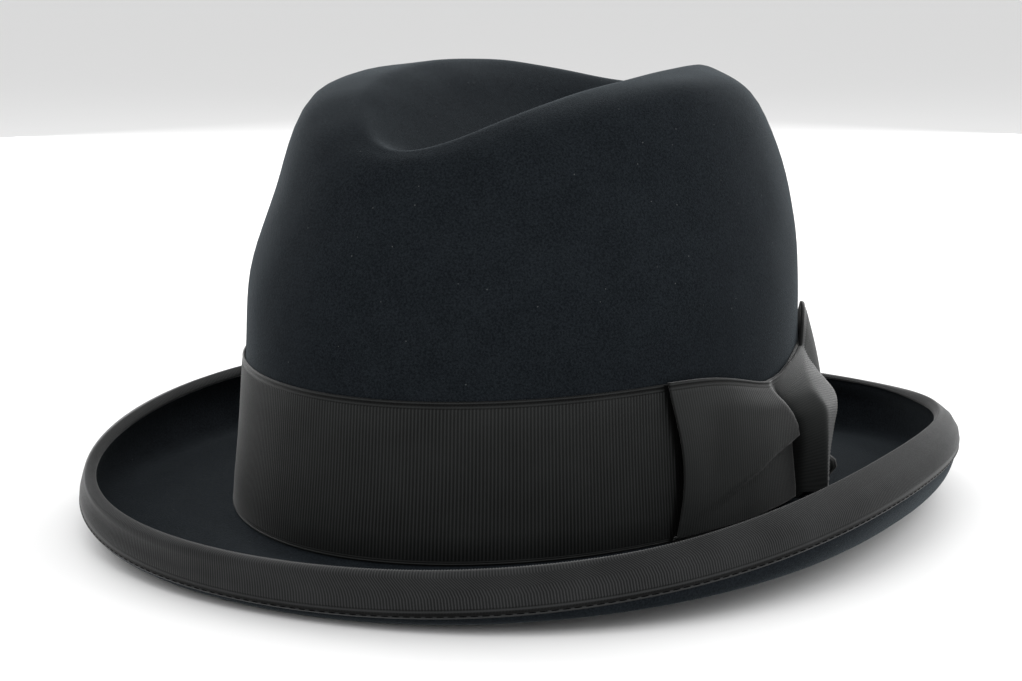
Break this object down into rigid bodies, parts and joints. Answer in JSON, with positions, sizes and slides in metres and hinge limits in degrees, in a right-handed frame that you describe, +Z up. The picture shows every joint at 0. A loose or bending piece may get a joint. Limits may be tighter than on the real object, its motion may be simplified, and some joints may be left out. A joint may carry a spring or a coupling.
{
  "type": "homburg hat",
  "caption": "Stiff felt hat with a lengthwise dent in the crown, a wide ribbon band with a flat side bow, and a curled, ribbon-bound brim.",
  "frame": {"origin": "on the floor plane under the middle of the hat's length and width", "axes": "the front of the hat looks along -Y, the wearer's left side with the bow is +X, and up is +Z"},
  "size_m": [0.2618, 0.292, 0.1356],
  "materials": {
    "felt": "matt fur felt with a short nap",
    "ribbon": "ribbed grosgrain with a soft sheen",
    "binding": "ribbed grosgrain with a soft sheen"
  },
  "bodies": {
    "root": {"felt_body": "felt", "hat_band": "ribbon", "bow_front_loop": "ribbon", "bow_knot": "ribbon", "bow_rear_loop": "ribbon", "brim_binding": "binding"}
  },
  "joints": []
}
